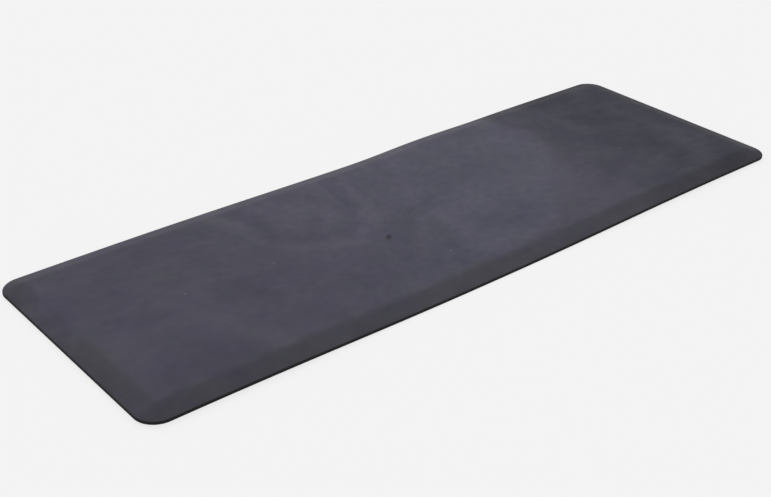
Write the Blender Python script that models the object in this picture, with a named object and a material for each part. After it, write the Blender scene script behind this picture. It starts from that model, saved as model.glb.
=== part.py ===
"""Anti-fatigue standing mat: a laminated cushion mat with a ramp on all four sides.

The mat is a stack of bonded layers. From the floor up they are a rubber grip base with low pads under it,
a thin reinforcing scrim, a firm support foam, a soft comfort foam, and a moulded wear skin whose ramps and
rim close over the stack. Every outline is the same rounded rectangle, inset by its own distance, so each
layer is a loft of such outlines.

Frame: metres, +X along the length, +Y across the width, +Z up. The origin is the middle of the underside.
"""

import math

import bmesh
import bpy

# Driving dimensions of the whole mat.
LENGTH = 1.778
WIDTH = 0.610
HEIGHT = 0.019
CORNER_RADIUS = 0.047
RAMP_WIDTH = 0.044
RIM_HEIGHT = 0.006

# Layers. The adhesive film between two layers is the gap between their solids.
BASE_THICKNESS = 0.0030
SCRIM_THICKNESS = 0.0004
SKIN_THICKNESS = 0.0015
FILM = 0.0003
FLANGE_WIDTH = 0.010
FOAM_SPLIT_HEIGHT = 0.0102

# Softened edges.
CREST_RADIUS = 0.055
LIP_RADIUS = 0.0025
BASE_CHAMFER = 0.0004
SMALLEST_CORNER = 0.003

# Grip pads under the base, parted by shallow air channels.
PADS_ALONG = 19
PADS_ACROSS = 7
GRIP_MARGIN = 0.030
CHANNEL_WIDTH = 0.005
CHANNEL_DEPTH = 0.0008
CUTTER_OVERSHOOT = 0.001

# Resolution of the round stretches.
CORNER_STEPS = 10
CREST_STEPS = 4
LIP_STEPS = 4

# Worked out from the dimensions above.
RAMP_SLOPE = (HEIGHT - RIM_HEIGHT) / RAMP_WIDTH
RAMP_ANGLE = math.atan(RAMP_SLOPE)
CREST_TANGENT = CREST_RADIUS * math.tan(RAMP_ANGLE / 2)
SKIN_UNDERSIDE = BASE_THICKNESS + FILM
SCRIM_TOP = SKIN_UNDERSIDE + SCRIM_THICKNESS
SUPPORT_UNDERSIDE = SCRIM_TOP + FILM
FOAM_DEPTH = SKIN_THICKNESS + FILM
FOAM_INSET = FLANGE_WIDTH + FILM


def clear_scene():
    """Remove every object, so that the scene holds only the mat."""
    for old in list(bpy.data.objects):
        bpy.data.objects.remove(old, do_unlink=True)


def material(name, colour, roughness):
    """A plain non-metallic Principled material."""
    made = bpy.data.materials.new(name)
    made.use_nodes = True
    shader = made.node_tree.nodes["Principled BSDF"]
    shader.inputs["Base Color"].default_value = (*colour, 1.0)
    shader.inputs["Roughness"].default_value = roughness
    shader.inputs["Metallic"].default_value = 0.0
    return made


def outline(inset, height):
    """The mat's rounded rectangle moved inwards by inset: points at one height, anticlockwise from above."""
    half_length = LENGTH / 2 - inset
    half_width = WIDTH / 2 - inset
    radius = max(CORNER_RADIUS - inset, SMALLEST_CORNER)
    points = []
    for quarter, (side_x, side_y) in enumerate(((1, 1), (-1, 1), (-1, -1), (1, -1))):
        centre_x = side_x * (half_length - radius)
        centre_y = side_y * (half_width - radius)
        for step in range(CORNER_STEPS + 1):
            angle = math.radians(90) * (quarter + step / CORNER_STEPS)
            points.append((centre_x + radius * math.cos(angle), centre_y + radius * math.sin(angle), height))
    return points


def loft(name, profile, finish):
    """A closed solid through the outlines of a profile, a list of (inset, height), capped at both ends."""
    mesh = bmesh.new()
    rings = [[mesh.verts.new(point) for point in outline(*stage)] for stage in profile]
    for lower, upper in zip(rings, rings[1:]):
        count = len(lower)
        for i in range(count):
            j = (i + 1) % count
            mesh.faces.new((lower[i], lower[j], upper[j], upper[i]))
    mesh.faces.new(list(reversed(rings[0])))
    mesh.faces.new(rings[-1])
    bmesh.ops.recalc_face_normals(mesh, faces=mesh.faces)
    return add_object(name, mesh, finish)


def add_object(name, mesh, finish):
    """Put a finished bmesh in the scene as a smooth-shaded object with sharp creases."""
    data = bpy.data.meshes.new(name)
    mesh.to_mesh(data)
    mesh.free()
    data.shade_smooth()
    data.set_sharp_from_angle(angle=math.radians(30))
    data.materials.append(finish)
    made = bpy.data.objects.new(name, data)
    bpy.context.scene.collection.objects.link(made)
    return made


def ramp_inset(height, depth):
    """How far in the ramp's surface, sunk by depth along its normal, reaches a height."""
    return (height - RIM_HEIGHT + depth / math.cos(RAMP_ANGLE)) / RAMP_SLOPE


def ramp_height(inset, depth):
    """The height of the ramp's surface, sunk by depth along its normal, at an inset."""
    return RIM_HEIGHT + RAMP_SLOPE * inset - depth / math.cos(RAMP_ANGLE)


def crest(depth):
    """The round crest from the ramp to the flat top, sunk by depth, as (inset, height) from outside in."""
    centre_inset = RAMP_WIDTH + CREST_TANGENT
    centre_height = HEIGHT - CREST_RADIUS
    radius = CREST_RADIUS - depth
    angles = [RAMP_ANGLE * (1 - step / CREST_STEPS) for step in range(CREST_STEPS + 1)]
    return [(centre_inset - radius * math.sin(a), centre_height + radius * math.cos(a)) for a in angles]


def lip():
    """The rim's upper edge, rounded from upright to the ramp, as (inset, height) from below upwards."""
    turn = math.radians(90) - RAMP_ANGLE
    tangent = LIP_RADIUS * math.tan(turn / 2)
    centre_height = RIM_HEIGHT - tangent
    angles = [turn * step / LIP_STEPS for step in range(LIP_STEPS + 1)]
    return [(LIP_RADIUS * (1 - math.cos(a)), centre_height + LIP_RADIUS * math.sin(a)) for a in angles]


def wear_skin():
    """The moulded skin: flat top, four ramps and an upright rim, hollow underneath, with a bonding flange."""
    cavity = crest(SKIN_THICKNESS)[::-1]
    cavity.append((FLANGE_WIDTH, ramp_height(FLANGE_WIDTH, SKIN_THICKNESS)))
    cavity.append((FLANGE_WIDTH, SKIN_UNDERSIDE))
    outside = [(0.0, SKIN_UNDERSIDE)] + lip() + crest(0.0)
    return loft("wear_skin", cavity + outside, material("skin_polyurethane", (0.055, 0.054, 0.066), 0.6))


def comfort_foam():
    """The soft upper foam, which fills the top of the skin's hollow."""
    underside = FOAM_SPLIT_HEIGHT + FILM
    profile = [(ramp_inset(underside, FOAM_DEPTH), underside)] + crest(FOAM_DEPTH)
    return loft("comfort_foam", profile, material("soft_foam", (0.30, 0.31, 0.34), 0.95))


def support_foam():
    """The firm lower foam, upright beside the flange and then sloped under the ramps."""
    profile = [
        (FOAM_INSET, SUPPORT_UNDERSIDE),
        (FOAM_INSET, ramp_height(FOAM_INSET, FOAM_DEPTH)),
        (ramp_inset(FOAM_SPLIT_HEIGHT, FOAM_DEPTH), FOAM_SPLIT_HEIGHT),
    ]
    return loft("support_foam", profile, material("firm_foam", (0.07, 0.07, 0.075), 0.9))


def reinforcing_scrim():
    """The thin textile sheet that stops the mat stretching and curling."""
    profile = [(FOAM_INSET, SKIN_UNDERSIDE), (FOAM_INSET, SCRIM_TOP)]
    return loft("reinforcing_scrim", profile, material("scrim_yarn", (0.62, 0.60, 0.55), 0.85))


def breaks(extent, pads):
    """Where channels and pads begin and end across an extent, starting and ending with a channel."""
    pad = (extent - (pads + 1) * CHANNEL_WIDTH) / pads
    places = [-extent / 2]
    for _ in range(pads):
        places.append(places[-1] + CHANNEL_WIDTH)
        places.append(places[-1] + pad)
    places.append(places[-1] + CHANNEL_WIDTH)
    return places


def channel_cutter():
    """A lattice that stands for the air channels, with a hole in it for each pad."""
    along = breaks(LENGTH - 2 * GRIP_MARGIN, PADS_ALONG)
    across = breaks(WIDTH - 2 * GRIP_MARGIN, PADS_ACROSS)
    mesh = bmesh.new()
    grid = [[mesh.verts.new((x, y, -CUTTER_OVERSHOOT)) for y in across] for x in along]
    for i in range(len(along) - 1):
        for j in range(len(across) - 1):
            if i % 2 and j % 2:
                continue
            mesh.faces.new((grid[i][j], grid[i + 1][j], grid[i + 1][j + 1], grid[i][j + 1]))
    raised = bmesh.ops.extrude_face_region(mesh, geom=list(mesh.faces))["geom"]
    top = [v for v in raised if isinstance(v, bmesh.types.BMVert)]
    bmesh.ops.translate(mesh, verts=top, vec=(0, 0, CUTTER_OVERSHOOT + CHANNEL_DEPTH))
    bmesh.ops.recalc_face_normals(mesh, faces=mesh.faces)
    cutter = add_object("channel_cutter", mesh, material("cutter", (0.8, 0.2, 0.2), 0.5))
    cutter.hide_render = True
    cutter.display_type = "WIRE"
    return cutter


def grip_base():
    """The rubber base sheet: its upright edge is the lower part of the rim, and its pads grip the floor."""
    profile = [(BASE_CHAMFER, 0.0), (0.0, BASE_CHAMFER), (0.0, BASE_THICKNESS)]
    base = loft("grip_base", profile, material("base_rubber", (0.012, 0.012, 0.013), 0.75))
    cut = base.modifiers.new("channels", "BOOLEAN")
    cut.operation = "DIFFERENCE"
    cut.object = channel_cutter()
    return base


def main():
    clear_scene()
    grip_base()
    reinforcing_scrim()
    support_foam()
    comfort_foam()
    wear_skin()


main()
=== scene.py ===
"""Looks for the anti-fatigue mat: its five bonded layers as fine meshes, on a floor in soft light.

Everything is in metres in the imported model's frame: +X along the mat, +Y across it, +Z up from the floor.
"""

import math

import bmesh
import bpy
from mathutils import Matrix, Vector


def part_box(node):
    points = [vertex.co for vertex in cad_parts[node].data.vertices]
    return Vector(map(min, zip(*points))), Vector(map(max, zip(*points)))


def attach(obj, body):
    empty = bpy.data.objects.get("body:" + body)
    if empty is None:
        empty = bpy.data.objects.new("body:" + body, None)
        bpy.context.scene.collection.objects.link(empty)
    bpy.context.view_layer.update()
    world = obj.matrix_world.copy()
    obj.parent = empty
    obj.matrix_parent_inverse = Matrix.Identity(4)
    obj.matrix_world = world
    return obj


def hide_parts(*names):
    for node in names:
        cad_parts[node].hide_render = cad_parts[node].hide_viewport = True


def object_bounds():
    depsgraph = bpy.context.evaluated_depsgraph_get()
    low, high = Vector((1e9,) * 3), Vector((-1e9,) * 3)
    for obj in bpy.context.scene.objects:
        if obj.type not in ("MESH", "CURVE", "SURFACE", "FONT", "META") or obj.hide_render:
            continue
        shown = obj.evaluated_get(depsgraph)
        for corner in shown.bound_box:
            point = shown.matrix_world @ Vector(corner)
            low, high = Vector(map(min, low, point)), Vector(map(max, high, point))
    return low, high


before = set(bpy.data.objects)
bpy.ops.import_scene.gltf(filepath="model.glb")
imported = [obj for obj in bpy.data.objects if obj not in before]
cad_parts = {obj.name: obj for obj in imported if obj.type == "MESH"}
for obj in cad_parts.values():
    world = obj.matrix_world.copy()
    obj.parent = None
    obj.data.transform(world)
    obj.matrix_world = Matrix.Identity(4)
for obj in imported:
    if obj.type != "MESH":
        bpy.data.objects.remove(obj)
cad_low, cad_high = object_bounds()

# The mat's size and its layers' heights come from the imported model.
LENGTH = cad_high.x - cad_low.x
WIDTH = cad_high.y - cad_low.y
HEIGHT = cad_high.z
BASE_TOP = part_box("grip_base")[1].z
SCRIM_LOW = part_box("reinforcing_scrim")[0].z
SUPPORT_LOW, SUPPORT_HIGH = (point.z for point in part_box("support_foam"))
COMFORT_LOW, COMFORT_HIGH = (point.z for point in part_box("comfort_foam"))
SKIN_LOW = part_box("wear_skin")[0].z
FOAM_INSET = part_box("support_foam")[0].x - cad_low.x
FILM = SKIN_LOW - BASE_TOP
SKIN = HEIGHT - COMFORT_HIGH - FILM

# The shape of the ramps and of the rim.
CORNER_RADIUS = 0.047
RAMP_WIDTH = 0.044
RIM_HEIGHT = 0.006
CREST_RADIUS = 0.055
LIP_RADIUS = 0.0025
RAMP_SLOPE = (HEIGHT - RIM_HEIGHT) / RAMP_WIDTH
RAMP_ANGLE = math.atan(RAMP_SLOPE)
CREST_TANGENT = CREST_RADIUS * math.tan(RAMP_ANGLE / 2)
TOP_INSET = RAMP_WIDTH + CREST_TANGENT
FLANGE_WIDTH = FOAM_INSET - FILM

# The grip pads under the base and the air channels between them.
PADS_ALONG = 19
PADS_ACROSS = 7
GRIP_MARGIN = 0.030
CHANNEL_WIDTH = 0.005
CHANNEL_DEPTH = 0.0008
BASE_CHAMFER = 0.0004
PAD_CORNER = 0.006

# The scrim's yarns, laid in two directions on a thin tissue: the bottom and top of the tissue, of the
# lengthwise yarns and of the crosswise yarns, above the scrim's underside.
YARN_PITCH = 0.012
YARN_WIDTH = 0.0012
YARN_LAYERS = ((0.0, 0.00010), (0.00011, 0.00025), (0.00026, 0.00040))

# Half the sides of the rectangle through the centres of the corners' rounds.
CORE_X = LENGTH / 2 - CORNER_RADIUS
CORE_Y = WIDTH / 2 - CORNER_RADIUS

# Resolution of the meshes.
MESH_STEP = 0.0105
CORNER_STEPS = 16
CREST_STEPS = 10
LIP_STEPS = 6
RAMP_STEPS = 4
PAD_CORNER_STEPS = 4
WELD_DISTANCE = 1e-6
CREASE_ANGLE = math.radians(30)

# How the mat lies: bowed a little to the near side, and with low humps along its two long edges, each of
# them (height, centre along X, half its length). The humps of one edge fade evenly towards the other edge.
BOW = 0.0046
NEAR_HUMPS = ((0.0060, -0.71, 0.59), (0.0060, 0.60, 0.63))
FAR_HUMPS = ((0.0051, -0.51, 0.64), (0.0036, 0.24, 0.21), (0.0044, 0.50, 0.51))


# ---------------------------------------------------------------- shapes


def lift(x, humps):
    """How high an edge with humps rises off the floor at x."""
    total = 0.0
    for height, centre, half_length in humps:
        share = min(abs(x - centre) / half_length, 1.0)
        total += height * math.cos(math.pi / 2 * share) ** 2
    return total


def settle(point):
    """Where a point of the flat mat ends up, now that the soft mat lies relaxed on the floor."""
    x, y, z = point
    far_share = 0.5 + y / WIDTH
    rise = (1 - far_share) * lift(x, NEAR_HUMPS) + far_share * lift(x, FAR_HUMPS)
    return Vector((x, y - BOW * (1 - (2 * x / LENGTH) ** 2), z + rise))


def spread(low, high, steps):
    """Evenly spaced numbers from low to high, both included."""
    return [low + (high - low) * i / steps for i in range(steps + 1)]


# The corners as the signs of X and Y, anticlockwise from above, and the stations along the straight edges.
QUARTERS = ((1, 1), (-1, 1), (-1, -1), (1, -1))
LONG_RUN = spread(-CORE_X, CORE_X, round(2 * CORE_X / MESH_STEP))
SHORT_RUN = spread(-CORE_Y, CORE_Y, round(2 * CORE_Y / MESH_STEP))


def core(inset):
    """Half the sides of the rectangle through the centres of an outline's rounds, and their radius."""
    radius = max(CORNER_RADIUS - inset, 0.0)
    return LENGTH / 2 - inset - radius, WIDTH / 2 - inset - radius, radius


def corner(quarter, core_x, core_y, radius, steps):
    """One rounded corner of a rectangle about the origin, as points in plan, anticlockwise."""
    side_x, side_y = QUARTERS[quarter]
    angles = [math.radians(90) * turn for turn in spread(quarter, quarter + 1, steps)]
    return [(side_x * core_x + radius * math.cos(a), side_y * core_y + radius * math.sin(a)) for a in angles]


def outline(inset, height):
    """The mat's outline moved in by inset, as points anticlockwise from above."""
    core_x, core_y, radius = core(inset)
    points = []
    for quarter, (side_x, side_y) in enumerate(QUARTERS):
        points += corner(quarter, core_x, core_y, radius, CORNER_STEPS)
        if quarter % 2:
            points += [(side_x * (core_x + radius), -side_y * y * core_y / CORE_Y) for y in SHORT_RUN[1:-1]]
        else:
            points += [(-side_x * x * core_x / CORE_X, side_y * (core_y + radius)) for x in LONG_RUN[1:-1]]
    return [(x, y, height) for x, y in points]


def add_ring(mesh, inset, height):
    """The outline at one inset and height, as new vertices."""
    return [mesh.verts.new(point) for point in outline(inset, height)]


def bridge(mesh, lower, upper):
    """Quads between two closed rings with the same number of points."""
    for i in range(len(lower)):
        j = (i + 1) % len(lower)
        mesh.faces.new((lower[i], lower[j], upper[j], upper[i]))


def add_cap(mesh, inset, height):
    """A flat grid over the rectangle that an outline far enough in has shrunk to."""
    core_x, core_y, _ = core(inset)
    ys = [y * core_y / CORE_Y for y in SHORT_RUN]
    grid = [[mesh.verts.new((x * core_x / CORE_X, y, height)) for y in ys] for x in LONG_RUN]
    for near, far in zip(grid, grid[1:]):
        for i in range(len(ys) - 1):
            mesh.faces.new((near[i], far[i], far[i + 1], near[i + 1]))


def add_walls(mesh, profile):
    """The faces along a profile of (inset, height), and its rings of points."""
    rings = [add_ring(mesh, *stage) for stage in profile]
    for lower, upper in zip(rings, rings[1:]):
        bridge(mesh, lower, upper)
    return rings


def add_layer(mesh, profile):
    """A closed layer through a profile of (inset, height) that starts and ends far enough in for a cap."""
    add_walls(mesh, profile)
    add_cap(mesh, *profile[0])
    add_cap(mesh, *profile[-1])


def layer(name, profile, material):
    """One whole closed layer as a finished piece."""
    mesh = bmesh.new()
    add_layer(mesh, profile)
    return finish_piece(name, mesh, material)


def finish_piece(name, mesh, material):
    """Weld a bmesh, lay it down with the mat and make it a piece that stands for the CAD node of its name."""
    bmesh.ops.remove_doubles(mesh, verts=mesh.verts, dist=WELD_DISTANCE)
    bmesh.ops.recalc_face_normals(mesh, faces=mesh.faces)
    for vertex in mesh.verts:
        vertex.co = settle(vertex.co)
    data = bpy.data.meshes.new(name)
    mesh.to_mesh(data)
    mesh.free()
    data.shade_smooth()
    data.set_sharp_from_angle(angle=CREASE_ANGLE)
    data.materials.append(material)
    piece = bpy.data.objects.new(name + "_fine", data)
    bpy.context.scene.collection.objects.link(piece)
    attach(piece, "root")
    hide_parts(name)
    return piece


def ramp_height(inset, depth=0.0):
    """The height of the ramp's surface, sunk by depth along its normal."""
    return RIM_HEIGHT + RAMP_SLOPE * inset - depth / math.cos(RAMP_ANGLE)


def ramp_inset(height, depth=0.0):
    """How far in the ramp's surface, sunk by depth along its normal, reaches a height."""
    return (height - RIM_HEIGHT + depth / math.cos(RAMP_ANGLE)) / RAMP_SLOPE


def crest(depth=0.0):
    """The crest from the ramp to the flat top, sunk by depth, as (inset, height)."""
    radius = CREST_RADIUS - depth
    centre_height = HEIGHT - CREST_RADIUS
    angles = spread(RAMP_ANGLE, 0.0, CREST_STEPS)
    return [(TOP_INSET - radius * math.sin(a), centre_height + radius * math.cos(a)) for a in angles]


def lip():
    """The rim's rounded upper edge, from upright to the ramp, as (inset, height)."""
    turn = math.radians(90) - RAMP_ANGLE
    start = RIM_HEIGHT - LIP_RADIUS * math.tan(turn / 2)
    angles = spread(0.0, turn, LIP_STEPS)
    return [(LIP_RADIUS * (1 - math.cos(a)), start + LIP_RADIUS * math.sin(a)) for a in angles]


def ramp(low_inset, high_inset, depth=0.0):
    """Points up a ramp between two insets, without its ends."""
    return [(inset, ramp_height(inset, depth)) for inset in spread(low_inset, high_inset, RAMP_STEPS)[1:-1]]


# ---------------------------------------------------------------- materials


class Graph:
    """A material's node tree, with one short call for each kind of node it needs."""

    def __init__(self, name):
        self.material = bpy.data.materials.new(name)
        self.material.use_nodes = True
        self.tree = self.material.node_tree
        self.shader = self.tree.nodes["Principled BSDF"]
        self.place = self.tree.nodes.new("ShaderNodeTexCoord").outputs["Object"]

    def put(self, socket, value):
        """Link another node's socket into this one, or set its value."""
        if isinstance(value, bpy.types.NodeSocket):
            self.tree.links.new(value, socket)
        else:
            socket.default_value = value

    def math(self, operation, first, second=0.0, third=0.0, clamp=False):
        """Arithmetic on numbers, as Blender's math node names it."""
        node = self.tree.nodes.new("ShaderNodeMath")
        node.operation = operation
        node.use_clamp = clamp
        for socket, value in zip(node.inputs, (first, second, third)):
            self.put(socket, value)
        return node.outputs[0]

    def vector(self, operation, first, second=(0, 0, 0)):
        """Arithmetic on vectors, with a number as the result where the operation gives one."""
        node = self.tree.nodes.new("ShaderNodeVectorMath")
        node.operation = operation
        self.put(node.inputs[0], first)
        self.put(node.inputs[1], second)
        return node.outputs["Value" if operation in ("LENGTH", "DISTANCE", "DOT_PRODUCT") else "Vector"]

    def split(self, vector):
        """A vector's or a colour's three numbers."""
        node = self.tree.nodes.new("ShaderNodeSeparateXYZ")
        self.put(node.inputs[0], vector)
        return node.outputs

    def join(self, x, y, z):
        """A vector of three numbers."""
        node = self.tree.nodes.new("ShaderNodeCombineXYZ")
        for socket, value in zip(node.inputs, (x, y, z)):
            self.put(socket, value)
        return node.outputs[0]

    def noise(self, scale, detail=3.0, roughness=0.5):
        """Noise from about 0 to 1, scale being waves in a metre."""
        node = self.tree.nodes.new("ShaderNodeTexNoise")
        self.put(node.inputs["Vector"], self.place)
        for name, value in (("Scale", scale), ("Detail", detail), ("Roughness", roughness)):
            self.put(node.inputs[name], value)
        return node.outputs["Fac"]

    def spread_noise(self, scale, detail, spread):
        """Noise around 0, from about minus half of spread to half of spread at its most."""
        return self.math("MULTIPLY_ADD", self.noise(scale, detail, 0.6), 2 * spread, -spread)

    def cells(self, size, feature="F1"):
        """A Voronoi node with cells of about one size, for its distance and its cells' random colours."""
        node = self.tree.nodes.new("ShaderNodeTexVoronoi")
        node.feature = feature
        self.put(node.inputs["Vector"], self.place)
        self.put(node.inputs["Scale"], 1 / size)
        return node.outputs

    def distance(self, x, y):
        """The distance in plan from one place on the mat."""
        return self.vector("DISTANCE", self.vector("MULTIPLY", self.place, (1, 1, 0)), (x, y, 0))

    def band(self, value, centre, half_width):
        """1 where value is at the centre, fading to 0 at half_width from it."""
        return self.remap(self.math("ABSOLUTE", self.math("SUBTRACT", value, centre)), half_width, 0.0)

    def remap(self, value, low, high, to_low=0.0, to_high=1.0, smooth=True):
        """value from low to high, turned into to_low to to_high and held there beyond."""
        node = self.tree.nodes.new("ShaderNodeMapRange")
        node.interpolation_type = "SMOOTHSTEP" if smooth else "LINEAR"
        for socket, number in zip(node.inputs, (value, low, high, to_low, to_high)):
            self.put(socket, number)
        return node.outputs[0]

    def mix(self, factor, first, second):
        """A colour between two colours."""
        node = self.tree.nodes.new("ShaderNodeMix")
        node.data_type = "RGBA"
        self.put(node.inputs["Factor"], factor)
        for name, value in (("A", first), ("B", second)):
            socket = next(s for s in node.inputs if s.name == name and s.type == "RGBA")
            self.put(socket, value if isinstance(value, bpy.types.NodeSocket) else (*value, 1.0))
        return next(s for s in node.outputs if s.type == "RGBA")

    def bump(self, height, distance, strength=1.0, normal=None):
        """A normal bent by a height from 0 to 1 that stands for distance in metres."""
        node = self.tree.nodes.new("ShaderNodeBump")
        self.put(node.inputs["Height"], height)
        self.put(node.inputs["Distance"], distance)
        self.put(node.inputs["Strength"], strength)
        if normal is not None:
            self.put(node.inputs["Normal"], normal)
        return node.outputs[0]

    def finish(self, **sockets):
        """Set the shader's sockets by name, with _ for a space, and return the material."""
        for name, value in sockets.items():
            self.put(self.shader.inputs[name.replace("_", " ")], value)
        return self.material


# Colours are linear. A pair of numbers is where something starts and where it is full, and four are the same
# two and then what it is at each. Noise is (waves in a metre, detail, how far it spreads).

# The painted sheen on the top: a painted highlight in a round sweep whose back fades to the left, and two
# steps of painted dull shade to the right.
SWEEP_CENTRE = (0.04, 0.17)
SWEEP_EDGE = (0.452, 0.400)
SWEEP_NOISE = (4.5, 4.0, 0.07)
SWEEP_BACK = (0.20, -0.10)
BRIGHT_RISE = (-0.60, 0.22)
FIRST_STEP = (0.395, 0.520)
FIRST_STEP_NOISE = (5.0, 5.0, 0.14)
FIRST_STEP_SHARE = 0.55
LAST_STEP = (0.54, 0.66)
LAST_STEP_NOISE = (7.0, 4.0, 0.16)

# Wiped loops on the top, each (centre X, centre Y, how far past the centre it is round, radius, half-width,
# strength). Past the round stretch their arms spread by the flare.
WIPES = (
    (-0.222, 0.128, 0.0, 0.145, 0.030, 0.85),
    (-0.222, 0.128, 0.0, 0.106, 0.038, -0.70),
    (-0.222, 0.128, 0.0, 0.060, 0.030, 0.25),
    (-0.760, -0.250, 0.3, 0.190, 0.050, 0.75),
)
WIPE_FLARE = 0.25
WIPE_NOISE = (8.0, 3.0, 0.04)
WIPE_BREAKS = (0.25, 0.50, 0.35, 1.0)
WIPE_BREAK_SCALE = 6.0

# Patches of the bloom, each (centre X, centre Y, half-length, half-width, strength).
PATCHES = (
    (-0.760, 0.170, 0.120, 0.100, 0.20),
    (-0.700, -0.205, 0.150, 0.090, -0.75),
    (-0.470, -0.060, 0.200, 0.090, -0.60),
    (-0.180, -0.190, 0.180, 0.070, -0.35),
    (0.010, -0.215, 0.110, 0.050, 0.40),
    (0.150, -0.140, 0.160, 0.090, -0.95),
    (0.300, 0.070, 0.120, 0.060, -0.45),
    (0.420, 0.170, 0.120, 0.120, 0.35),
    (0.600, 0.140, 0.035, 0.170, 0.75),
    (0.545, -0.070, 0.070, 0.050, 0.55),
    (0.590, -0.190, 0.100, 0.060, 0.75),
    (0.760, 0.140, 0.110, 0.090, -0.75),
    (0.760, -0.190, 0.080, 0.060, 0.70),
    (0.795, -0.020, 0.050, 0.050, -0.80),
)
PATCH_NOISE_X = (9.0, 3.0, 0.06)
PATCH_NOISE_Y = (10.0, 3.0, 0.06)
PATCH_FADE = (1.0, 0.2)

# Where each ramp starts, and what its own wear adds to the roughness.
NEAR_RAMP = (-0.250, -0.275)
NEAR_RAMP_WEAR = 0.018
NEAR_RAMP_NOISE = (16.0, 4.0, 0.07)
LEFT_RAMP = (-0.838, -0.860)
LEFT_RAMP_SHINE = (-0.10, 0.04, 0.010, -0.045)
LEFT_RAMP_WEAR = (0.12, 0.20, 0.0, 0.055)
LEFT_RAMP_NOISE = (20.0, 3.0, 0.14)
FAR_RAMP = (0.255, 0.285)
FAR_RAMP_WEAR = (0.38, 0.82, 0.0, 0.100)
RIGHT_RAMP = (0.838, 0.870)
RIGHT_RAMP_WEAR = (0.00, 0.16, 0.0, 0.080)

# How far in from the outline the wipe marks start, where the painted sheen colour does, and the rim's painted
# near-black shade.
MARKS_EDGE = (0.036, 0.052)
COVER_EDGE = (0.022, 0.075, 0.0, 1.3)
COVER_NOISE = (9.0, 5.0, 1.0)
RIM_SHADE_EDGE = (0.0028, 0.0003)
# Where the painted sheen colour spills onto the left ramp, brightening it: along X, middle and half-width
# along Y, and how far.
SPILL_X = (-0.80, -0.86)
SPILL_Y = (0.11, 0.16)
SPILL_REACH = 0.040

# The skin's colours. The top's carry a painted bluish sheen, plain and then under the painted highlight, the
# far ramp's a painted bluish sheen too, and the dull end's are painted shade, on the ramps and then on the
# top. The top's two hues follow a plain noise (waves in a metre, detail, roughness).
RAMP_COLOUR = (0.0178, 0.0168, 0.0290)
# The far ramp's bluer colour is a painted sheen, bounded along X and Y by the two pairs after it.
FAR_RAMP_SHEEN_COLOUR = (0.0202, 0.0170, 0.0400)
FAR_SHEEN_X = (-0.86, -0.78)
FAR_SHEEN_Y = (0.23, 0.27)
# Painted bluish sheen on the top: plain, then under the painted highlight.
BLUER_SHEEN_TOP = ((0.0182, 0.0172, 0.0370), (0.0171, 0.0170, 0.0425))
REDDER_SHEEN_TOP = ((0.0200, 0.0172, 0.0420), (0.0189, 0.0170, 0.0475))
HUE_PATCHES = (15.0, 5.0, 0.6)
HUE_EDGE = (0.35, 0.65)
# Painted dull shade: on the ramps, then on the top.
DULL_SHADE_COLOURS = ((0.0118, 0.0116, 0.0205), (0.0113, 0.0116, 0.0275))
# The rim's colour is painted shade along the skin's outline.
RIM_SHADE_COLOUR = (0.003, 0.003, 0.003)

# Dust specks, one to a cell in the cells with enough red in their random colour, and the one smear.
SPECK_CELL = 1 / 15
SPECK_RED = (0.70, 0.90)
SPECK_EDGE = (0.060, 0.020)
SPECK_STRENGTH = 0.15
SPECK_COLOUR = (0.50, 0.50, 0.48)
STAIN_PLACE = (-0.140, -0.055, 0.0)
STAIN_HEADING = (0.64, 0.77)
STAIN_LENGTH = 0.024
STAIN_WIDTH = 0.012
STAIN_FADE = (0.7, 0.1)
STAIN_COLOUR = (0.003, 0.003, 0.004)

# The skin's roughness, and what is taken off it or added to it.
PLAIN_ROUGHNESS = 0.708
CLOUDS = ((11.0, 6.0, 0.10), (45.0, 5.0, 0.08), (4.0, 3.0, 0.06))
BRIGHT_SHINE = 0.056
MARK_SHINE = 0.055
DULL_LOSS = 0.125
DULL_NOISE = (10.0, 4.0, 0.16)
STAIN_LOSS = 0.15

# The skin's moulded grain, and its long low waves.
PEBBLE_SIZE = 1 / 620
PEBBLE_DEPTH = 0.00010
PEBBLE_STRENGTH = 0.25
WAVE_SCALE = 22.0
WAVE_DEPTH = 0.0012
WAVE_STRENGTH = 0.20

# The foams, each (light colour, painted shade in the pits, cell size).
SOFT_FOAM = ((0.34, 0.35, 0.38), (0.20, 0.21, 0.23), 0.0012)
FIRM_FOAM = ((0.075, 0.075, 0.08), (0.04, 0.04, 0.043), 0.0008)
FOAM_PITS = (0.15, 0.6)
FOAM_BUMP = 0.6
FOAM_ROUGHNESS = 0.95

# The scrim's yarn and the rubber base, whose clouds are (waves in a metre, detail).
YARN_COLOURS = ((0.50, 0.48, 0.43), (0.70, 0.68, 0.62))
YARN_SCALE = 900.0
YARN_ROUGHNESS = 0.85
BASE_COLOURS = ((0.0030, 0.0030, 0.0032), (0.0060, 0.0060, 0.0062))
BASE_CLOUDS = (30.0, 5.0)
BASE_ROUGHNESS = (0.3, 0.7, 0.74, 0.86)
BASE_SPECULAR = 0.25
BASE_GRAIN_SCALE = 1500.0
BASE_GRAIN_DEPTH = 0.0001
BASE_GRAIN_STRENGTH = 0.4


def edge_inset(g):
    """How far in from the mat's outline a point is, whatever its height."""
    x, y, _ = g.split(g.place)
    along = g.math("DIVIDE", x, LENGTH / 2)
    straight_y = g.math("ADD", y, g.math("MULTIPLY_ADD", g.math("MULTIPLY", along, along), -BOW, BOW))
    over_x = g.math("SUBTRACT", g.math("ABSOLUTE", x), CORE_X)
    over_y = g.math("SUBTRACT", g.math("ABSOLUTE", straight_y), CORE_Y)
    outside = g.vector("LENGTH", g.join(g.math("MAXIMUM", over_x, 0.0), g.math("MAXIMUM", over_y, 0.0), 0.0))
    inside = g.math("MINIMUM", g.math("MAXIMUM", over_x, over_y), 0.0)
    return g.math("SUBTRACT", CORNER_RADIUS, g.math("ADD", outside, inside))


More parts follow.
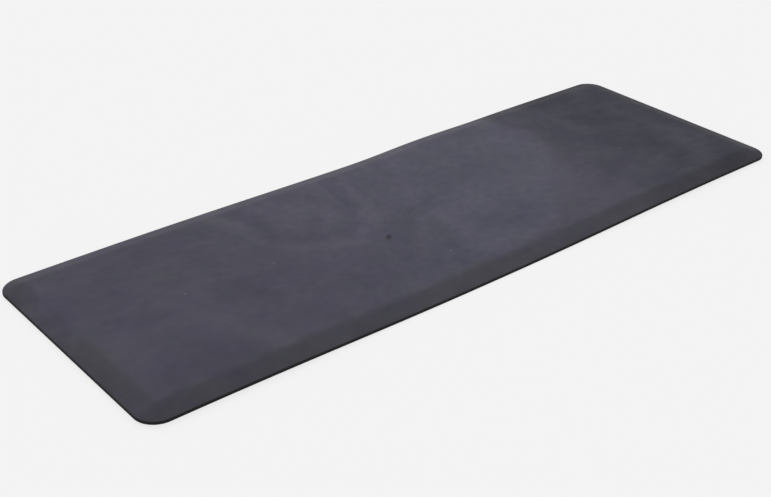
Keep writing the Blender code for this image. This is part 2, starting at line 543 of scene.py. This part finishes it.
def painted_sheen(g):
    """How strong the painted bluish sheen on the skin is: -1 at the end with painted dull shade and 1 under
    the painted highlight.
    """
    x, _, _ = g.split(g.place)
    sweep = g.math("ADD", g.distance(*SWEEP_CENTRE), g.spread_noise(*SWEEP_NOISE))
    wiped = g.math("MAXIMUM", g.remap(sweep, *SWEEP_EDGE), g.remap(x, *SWEEP_BACK))
    first = g.remap(g.math("ADD", x, g.spread_noise(*FIRST_STEP_NOISE)), *FIRST_STEP)
    last = g.remap(g.math("ADD", x, g.spread_noise(*LAST_STEP_NOISE)), *LAST_STEP)
    dull_shade_mask = g.math("MULTIPLY_ADD", first, FIRST_STEP_SHARE, g.math("MULTIPLY", last, 1 - FIRST_STEP_SHARE))
    return g.math("SUBTRACT", g.math("MULTIPLY", g.remap(x, *BRIGHT_RISE), wiped), dull_shade_mask)


def wipe_marks(g):
    """Soft broken loops where a cloth turned, some open towards the far edge; bright above 0, dull below."""
    x, y, _ = g.split(g.place)
    drift = g.spread_noise(*WIPE_NOISE)
    total = 0.0
    for centre_x, centre_y, round_to, radius, half_width, strength in WIPES:
        away = g.math("SUBTRACT", y, centre_y)
        past = g.math("MAXIMUM", g.math("SUBTRACT", away, round_to), 0.0)
        rounded = g.math("MINIMUM", away, round_to)
        reach = g.vector("LENGTH", g.join(g.math("SUBTRACT", x, centre_x), rounded, 0.0))
        reach = g.math("MULTIPLY_ADD", past, -WIPE_FLARE, g.math("ADD", reach, drift))
        total = g.math("MULTIPLY_ADD", g.band(reach, radius, half_width), strength, total)
    return g.math("MULTIPLY", total, g.remap(g.noise(WIPE_BREAK_SCALE), *WIPE_BREAKS))


def patches(g):
    """Soft uneven patches of more or less bloom; bright above 0, dull below."""
    drift = g.join(g.spread_noise(*PATCH_NOISE_X), g.spread_noise(*PATCH_NOISE_Y), 0.0)
    drifted = g.vector("ADD", g.place, drift)
    total = 0.0
    for centre_x, centre_y, half_x, half_y, strength in PATCHES:
        offset = g.vector("SUBTRACT", drifted, (centre_x, centre_y, 0.0))
        scaled = g.vector("MULTIPLY", offset, (1 / half_x, 1 / half_y, 0.0))
        spot = g.remap(g.vector("LENGTH", scaled), *PATCH_FADE)
        total = g.math("MULTIPLY_ADD", spot, strength, total)
    return total


def ramp_tone(g):
    """What the ramps' own wear adds to the roughness, besides what the top has."""
    x, y, _ = g.split(g.place)
    near = g.math("ADD", g.spread_noise(*NEAR_RAMP_NOISE), NEAR_RAMP_WEAR)
    near = g.math("MULTIPLY", g.remap(y, *NEAR_RAMP), near)
    left = g.math("ADD", g.remap(y, *LEFT_RAMP_SHINE), g.remap(y, *LEFT_RAMP_WEAR))
    left = g.math("ADD", g.spread_noise(*LEFT_RAMP_NOISE), left)
    left = g.math("MULTIPLY", g.remap(x, *LEFT_RAMP), left)
    far = g.math("MULTIPLY", g.remap(y, *FAR_RAMP), g.remap(x, *FAR_RAMP_WEAR))
    right = g.math("MULTIPLY", g.remap(x, *RIGHT_RAMP), g.remap(y, *RIGHT_RAMP_WEAR))
    return g.math("ADD", g.math("ADD", near, left), g.math("MAXIMUM", far, right))


def specks(g):
    """A few specks of pale dust: 1 on them and 0 elsewhere."""
    cells = g.cells(SPECK_CELL)
    red, _, _ = g.split(cells["Color"])
    return g.math("MULTIPLY", g.remap(red, *SPECK_RED), g.remap(cells["Distance"], *SPECK_EDGE))


def stain(g):
    """One small dark smear on the top, 1 in its middle."""
    x, y = STAIN_HEADING
    offset = g.vector("SUBTRACT", g.place, STAIN_PLACE)
    along = g.vector("DOT_PRODUCT", offset, (x / STAIN_LENGTH, y / STAIN_LENGTH, 0.0))
    across = g.vector("DOT_PRODUCT", offset, (y / STAIN_WIDTH, -x / STAIN_WIDTH, 0.0))
    return g.remap(g.vector("LENGTH", g.join(along, across, 0.0)), *STAIN_FADE)


def sheen_cover(g, inset):
    """How much of the painted sheen colour a place has: all of it on the top, and little on the ramps."""
    x, y, _ = g.split(g.place)
    spill = g.math("MULTIPLY", g.remap(x, *SPILL_X), g.band(y, *SPILL_Y))
    reach = g.math("MULTIPLY_ADD", spill, SPILL_REACH, inset)
    return g.math("ADD", g.remap(reach, *COVER_EDGE), g.spread_noise(*COVER_NOISE), clamp=True)


def skin_colour(g, inset, highlight_mask, dull_shade_mask, smear):
    """The skin's colour: neutral ramps with a painted bluish sheen on the far one, a top with a painted
    bluish sheen in two hues, its painted highlight and painted dull shade, specks, the smear and painted
    near-black shade on the rim.
    """
    x, y, _ = g.split(g.place)
    # Painted sheen on the far ramp.
    on_far_sheen = g.math("MULTIPLY", g.remap(y, *FAR_SHEEN_Y), g.remap(x, *FAR_SHEEN_X))
    on_ramp = g.mix(on_far_sheen, RAMP_COLOUR, FAR_RAMP_SHEEN_COLOUR)
    hue = g.remap(g.noise(*HUE_PATCHES), *HUE_EDGE)
    # The top's colour is a painted bluish sheen, bluer under the painted highlight.
    on_top = g.mix(hue, g.mix(highlight_mask, *BLUER_SHEEN_TOP), g.mix(highlight_mask, *REDDER_SHEEN_TOP))
    # Painted sheen colour: all on the top, little of it on the ramps.
    sheen_share = sheen_cover(g, inset)
    colour = g.mix(sheen_share, on_ramp, on_top)
    # Painted dull shade towards the right end.
    colour = g.mix(dull_shade_mask, colour, g.mix(sheen_share, *DULL_SHADE_COLOURS))
    colour = g.mix(g.math("MULTIPLY", specks(g), SPECK_STRENGTH), colour, SPECK_COLOUR)
    colour = g.mix(smear, colour, STAIN_COLOUR)
    # Painted near-black shade on the rim along the outline.
    return g.mix(g.remap(inset, *RIM_SHADE_EDGE), colour, RIM_SHADE_COLOUR)


def skin_roughness(g, inset, highlight_mask, dull_shade_mask, smear):
    """The skin's roughness: less in the wipe marks and under the painted highlight, more at the end with
    painted dull shade, in the smear and on the rim.
    """
    marks = g.math("MULTIPLY", g.math("ADD", wipe_marks(g), patches(g)), g.remap(inset, *MARKS_EDGE))
    shine = g.math("MULTIPLY", highlight_mask, BRIGHT_SHINE)
    shine = g.math("MULTIPLY_ADD", marks, MARK_SHINE, shine)
    for cloud in CLOUDS:
        shine = g.math("ADD", shine, g.spread_noise(*cloud))
    loss = g.math("MULTIPLY", dull_shade_mask, g.math("ADD", g.spread_noise(*DULL_NOISE), DULL_LOSS))
    loss = g.math("MULTIPLY_ADD", smear, STAIN_LOSS, loss)
    loss = g.math("ADD", loss, ramp_tone(g))
    roughness = g.math("ADD", g.math("SUBTRACT", PLAIN_ROUGHNESS, shine), loss)
    return g.math("MAXIMUM", roughness, g.remap(inset, *RIM_SHADE_EDGE))


def skin_normal(g):
    """The skin's fine pebble grain, on long low waves."""
    pebbles = g.cells(PEBBLE_SIZE, feature="SMOOTH_F1")["Distance"]
    grain = g.bump(pebbles, PEBBLE_DEPTH, PEBBLE_STRENGTH)
    return g.bump(g.noise(WAVE_SCALE), WAVE_DEPTH, WAVE_STRENGTH, grain)


def skin_material():
    """Matte black polyurethane with a faint painted bluish sheen on top, a painted highlight and painted dull
    shade, and uneven wipe marks in its roughness.
    """
    g = Graph("skin_polyurethane")
    level = painted_sheen(g)
    # The painted sheen level, split into its painted highlight and its painted dull shade.
    highlight_mask = g.remap(level, 0.0, 1.0, smooth=False)
    dull_shade_mask = g.remap(level, 0.0, -1.0, smooth=False)
    sheen_shade_and_stain = (edge_inset(g), highlight_mask, dull_shade_mask, stain(g))
    return g.finish(
        Base_Color=skin_colour(g, *sheen_shade_and_stain),
        Roughness=skin_roughness(g, *sheen_shade_and_stain),
        Normal=skin_normal(g),
    )


def foam_material(name, light, pit_shade, cell_size):
    """Open or closed foam, whose cells show as small pits, darkened with painted shade."""
    g = Graph(name)
    pits = g.cells(cell_size)["Distance"]
    # Painted shade in the bottoms of the pits.
    colour = g.mix(g.remap(pits, *FOAM_PITS), pit_shade, light)
    normal = g.bump(pits, cell_size / 2, FOAM_BUMP)
    return g.finish(Base_Color=colour, Roughness=FOAM_ROUGHNESS, Normal=normal)


def scrim_material():
    """Pale polyester yarn, a little uneven in shade."""
    g = Graph("scrim_yarn")
    colour = g.mix(g.noise(YARN_SCALE), *YARN_COLOURS)
    return g.finish(Base_Color=colour, Roughness=YARN_ROUGHNESS)


def base_material():
    """Black rubber with a dull moulded surface."""
    g = Graph("base_rubber")
    cloud = g.noise(*BASE_CLOUDS)
    return g.finish(
        Base_Color=g.mix(cloud, *BASE_COLOURS),
        Roughness=g.remap(cloud, *BASE_ROUGHNESS),
        Specular_IOR_Level=BASE_SPECULAR,
        Normal=g.bump(g.noise(BASE_GRAIN_SCALE), BASE_GRAIN_DEPTH, BASE_GRAIN_STRENGTH),
    )


# ---------------------------------------------------------------- pieces


def make_skin():
    """The moulded skin: top, ramps and rim outside, and the hollow for the foams inside."""
    under_crest = crest(SKIN)[::-1]
    foot = under_crest[-1][0]
    inside = under_crest + ramp(FLANGE_WIDTH, foot, SKIN)[::-1]
    inside.append((FLANGE_WIDTH, ramp_height(FLANGE_WIDTH, SKIN)))
    inside.append((FLANGE_WIDTH, SKIN_LOW))
    edge = lip()
    over_crest = crest()
    outside = [(0.0, SKIN_LOW)] + edge + ramp(edge[-1][0], over_crest[0][0]) + over_crest
    return layer("wear_skin", inside + outside, skin_material())


def make_comfort_foam():
    """The soft upper foam, which fills the top of the skin's hollow."""
    depth = SKIN + FILM
    foot = ramp_inset(COMFORT_LOW, depth)
    profile = [(TOP_INSET, COMFORT_LOW), (foot, COMFORT_LOW)] + crest(depth)
    piece = layer("comfort_foam", profile, foam_material("comfort_foam", *SOFT_FOAM))


def make_support_foam():
    """The firm lower foam, upright beside the flange and then sloped under the ramps."""
    depth = SKIN + FILM
    profile = [
        (TOP_INSET, SUPPORT_LOW),
        (FOAM_INSET, SUPPORT_LOW),
        (FOAM_INSET, ramp_height(FOAM_INSET, depth)),
        (ramp_inset(SUPPORT_HIGH, depth), SUPPORT_HIGH),
        (TOP_INSET, SUPPORT_HIGH),
    ]
    piece = layer("support_foam", profile, foam_material("support_foam", *FIRM_FOAM))


def add_yarn(mesh, run, place, low, high, crosswise):
    """A flat closed ribbon along a run of stations, at one place across it."""
    rings = []
    for station in run:
        sides = ((-1, low), (1, low), (1, high), (-1, high))
        points = [(station, place + side * YARN_WIDTH / 2, height) for side, height in sides]
        if crosswise:
            points = [(y, x, z) for x, y, z in points]
        rings.append([mesh.verts.new(point) for point in points])
    for one, other in zip(rings, rings[1:]):
        bridge(mesh, one, other)
    mesh.faces.new(rings[0])
    mesh.faces.new(rings[-1])


def add_yarns(mesh, half_across, core_across, core_along, radius, heights, crosswise):
    """All the yarns of one direction, each as long as the scrim's rounded outline lets it be."""
    count = round(2 * half_across / YARN_PITCH)
    for place in spread(-half_across + YARN_PITCH / 2, half_across - YARN_PITCH / 2, count - 1):
        past_core = max(abs(place) + YARN_WIDTH / 2 - core_across, 0.0)
        half_along = core_along + math.sqrt(radius ** 2 - past_core ** 2)
        run = spread(-half_along, half_along, round(half_along / MESH_STEP))
        add_yarn(mesh, run, place, *heights, crosswise)


def make_scrim():
    """The reinforcing scrim: a tissue with yarns laid lengthwise and then crosswise on it."""
    mesh = bmesh.new()
    tissue, lengthwise, crosswise = [[SCRIM_LOW + height for height in heights] for heights in YARN_LAYERS]
    low, high = tissue
    add_layer(mesh, [(TOP_INSET, low), (FOAM_INSET, low), (FOAM_INSET, high), (TOP_INSET, high)])
    core_x, core_y, radius = core(FOAM_INSET)
    add_yarns(mesh, core_y + radius, core_y, core_x, radius, lengthwise, False)
    add_yarns(mesh, core_x + radius, core_x, core_y, radius, crosswise, True)
    piece = finish_piece("reinforcing_scrim", mesh, scrim_material())


def pad_outline(middle, half_x, half_y, height):
    """A pad's rounded outline, as points anticlockwise from above."""
    points = []
    for quarter in range(len(QUARTERS)):
        points += corner(quarter, half_x - PAD_CORNER, half_y - PAD_CORNER, PAD_CORNER, PAD_CORNER_STEPS)
    return [(middle[0] + x, middle[1] + y, height) for x, y in points]


def add_pad(mesh, low, high):
    """One grip pad, and the floor of the channels around it out to the corners of its cell."""
    middle = ((low[0] + high[0]) / 2, (low[1] + high[1]) / 2)
    half_x = (high[0] - low[0] - CHANNEL_WIDTH) / 2
    half_y = (high[1] - low[1] - CHANNEL_WIDTH) / 2
    foot = [mesh.verts.new(point) for point in pad_outline(middle, half_x, half_y, CHANNEL_DEPTH)]
    shoulder = [mesh.verts.new(point) for point in pad_outline(middle, half_x, half_y, BASE_CHAMFER)]
    face = pad_outline(middle, half_x - BASE_CHAMFER, half_y - BASE_CHAMFER, 0.0)
    face = [mesh.verts.new(point) for point in face]
    bridge(mesh, foot, shoulder)
    bridge(mesh, shoulder, face)
    mesh.faces.new(face)
    cell = ((high[0], high[1]), (low[0], high[1]), (low[0], low[1]), (high[0], low[1]))
    ends = [mesh.verts.new((x, y, CHANNEL_DEPTH)) for x, y in cell]
    for quarter, end in enumerate(ends):
        first = quarter * (PAD_CORNER_STEPS + 1)
        last = first + PAD_CORNER_STEPS
        for i in range(first, last):
            mesh.faces.new((end, foot[i], foot[i + 1]))
        mesh.faces.new((end, foot[last], foot[(last + 1) % len(foot)], ends[(quarter + 1) % len(ends)]))


def add_underside(mesh, rim_ring):
    """The waffle of grip pads and channels, and the plain margin from it to the rim's lowest ring."""
    half_x = LENGTH / 2 - GRIP_MARGIN
    half_y = WIDTH / 2 - GRIP_MARGIN
    xs = spread(CHANNEL_WIDTH / 2 - half_x, half_x - CHANNEL_WIDTH / 2, PADS_ALONG)
    ys = spread(CHANNEL_WIDTH / 2 - half_y, half_y - CHANNEL_WIDTH / 2, PADS_ACROSS)
    for low_x, high_x in zip(xs, xs[1:]):
        for low_y, high_y in zip(ys, ys[1:]):
            add_pad(mesh, (low_x, low_y), (high_x, high_y))
    around = [(x, ys[0]) for x in xs[:-1]] + [(xs[-1], y) for y in ys[:-1]]
    around += [(-x, -y) for x, y in around]
    wall = [(x * half_x / xs[-1], y * half_y / ys[-1]) for x, y in around]
    rings = [[mesh.verts.new((x, y, CHANNEL_DEPTH)) for x, y in ring] for ring in (around, wall)]
    rings.append([mesh.verts.new((x, y, 0.0)) for x, y in wall])
    for one, other in zip(rings, rings[1:]):
        bridge(mesh, one, other)
    margin = []
    for ring in (rings[-1], rim_ring):
        margin += [mesh.edges.get((ring[i - 1], ring[i])) for i in range(len(ring))]
    bmesh.ops.triangle_fill(mesh, edges=margin, use_beauty=True)


def make_base():
    """The rubber base: the lower part of the rim, a flat bonded top and a waffle of pads underneath."""
    mesh = bmesh.new()
    profile = [(BASE_CHAMFER, 0.0), (0.0, BASE_CHAMFER), (0.0, BASE_TOP), (TOP_INSET, BASE_TOP)]
    rings = add_walls(mesh, profile)
    add_cap(mesh, *profile[-1])
    add_underside(mesh, rings[0])
    finish_piece("grip_base", mesh, base_material())


# ---------------------------------------------------------------- floor, camera and light

FLOOR_SIZE = 40.0
FLOOR_DROP = 0.0002
FLOOR_GLOW = 0.78
FLOOR_WHITE = 0.11
CAMERA_PLACE = Vector((-1.7045, -1.9188, 1.3843))
CAMERA_YAW = math.radians(39.84)
CAMERA_PITCH = math.radians(29.793)
CAMERA_ROLL = math.radians(0.701)
CAMERA_LENS = 59.85
SENSOR_WIDTH = 36.0
BACKGROUND = 0.896
SUN_STRENGTH = 0.70
SUN_SIZE = math.radians(60)
SUN_HEADING = Vector((-0.55, -0.75, -1.0))


def make_floor():
    """A wide white floor that glows as brightly as the backdrop, so that the two meet without a line."""
    mesh = bmesh.new()
    bmesh.ops.create_grid(mesh, x_segments=1, y_segments=1, size=FLOOR_SIZE)
    data = bpy.data.meshes.new("floor")
    mesh.to_mesh(data)
    mesh.free()
    material = Graph("floor").finish(
        Base_Color=(FLOOR_WHITE, FLOOR_WHITE, FLOOR_WHITE, 1.0),
        Roughness=1.0,
        Specular_IOR_Level=0.0,
        Emission_Strength=FLOOR_GLOW,
    )
    data.materials.append(material)
    floor = bpy.data.objects.new("floor", data)
    floor.location.z = -FLOOR_DROP
    bpy.context.scene.collection.objects.link(floor)


def make_camera():
    """The camera, turned to its heading, tilted down and then rolled."""
    data = bpy.data.cameras.new("camera")
    data.lens = CAMERA_LENS
    data.sensor_width = SENSOR_WIDTH
    camera = bpy.data.objects.new("camera", data)
    heading = Matrix.Rotation(-CAMERA_YAW, 4, "Z") @ Matrix.Rotation(math.radians(90) - CAMERA_PITCH, 4, "X")
    camera.matrix_world = Matrix.Translation(CAMERA_PLACE) @ heading @ Matrix.Rotation(CAMERA_ROLL, 4, "Z")
    bpy.context.scene.collection.objects.link(camera)
    bpy.context.scene.camera = camera


def make_world():
    """An even, nearly white backdrop, which gives most of the light."""
    world = bpy.data.worlds.new("studio")
    world.use_nodes = True
    background = world.node_tree.nodes["Background"]
    background.inputs["Color"].default_value = (BACKGROUND, BACKGROUND, BACKGROUND, 1.0)
    bpy.context.scene.world = world
    bpy.context.scene.view_settings.view_transform = "Standard"


def make_sun():
    """One wide soft light, from behind the mat and to its right."""
    data = bpy.data.lights.new("soft_sun", "SUN")
    data.energy = SUN_STRENGTH
    data.angle = SUN_SIZE
    sun = bpy.data.objects.new("soft_sun", data)
    sun.rotation_euler = SUN_HEADING.to_track_quat("-Z", "Y").to_euler()
    bpy.context.scene.collection.objects.link(sun)


make_camera()
make_world()
make_sun()
make_floor()
make_base()
make_scrim()
make_support_foam()
make_comfort_foam()
make_skin()
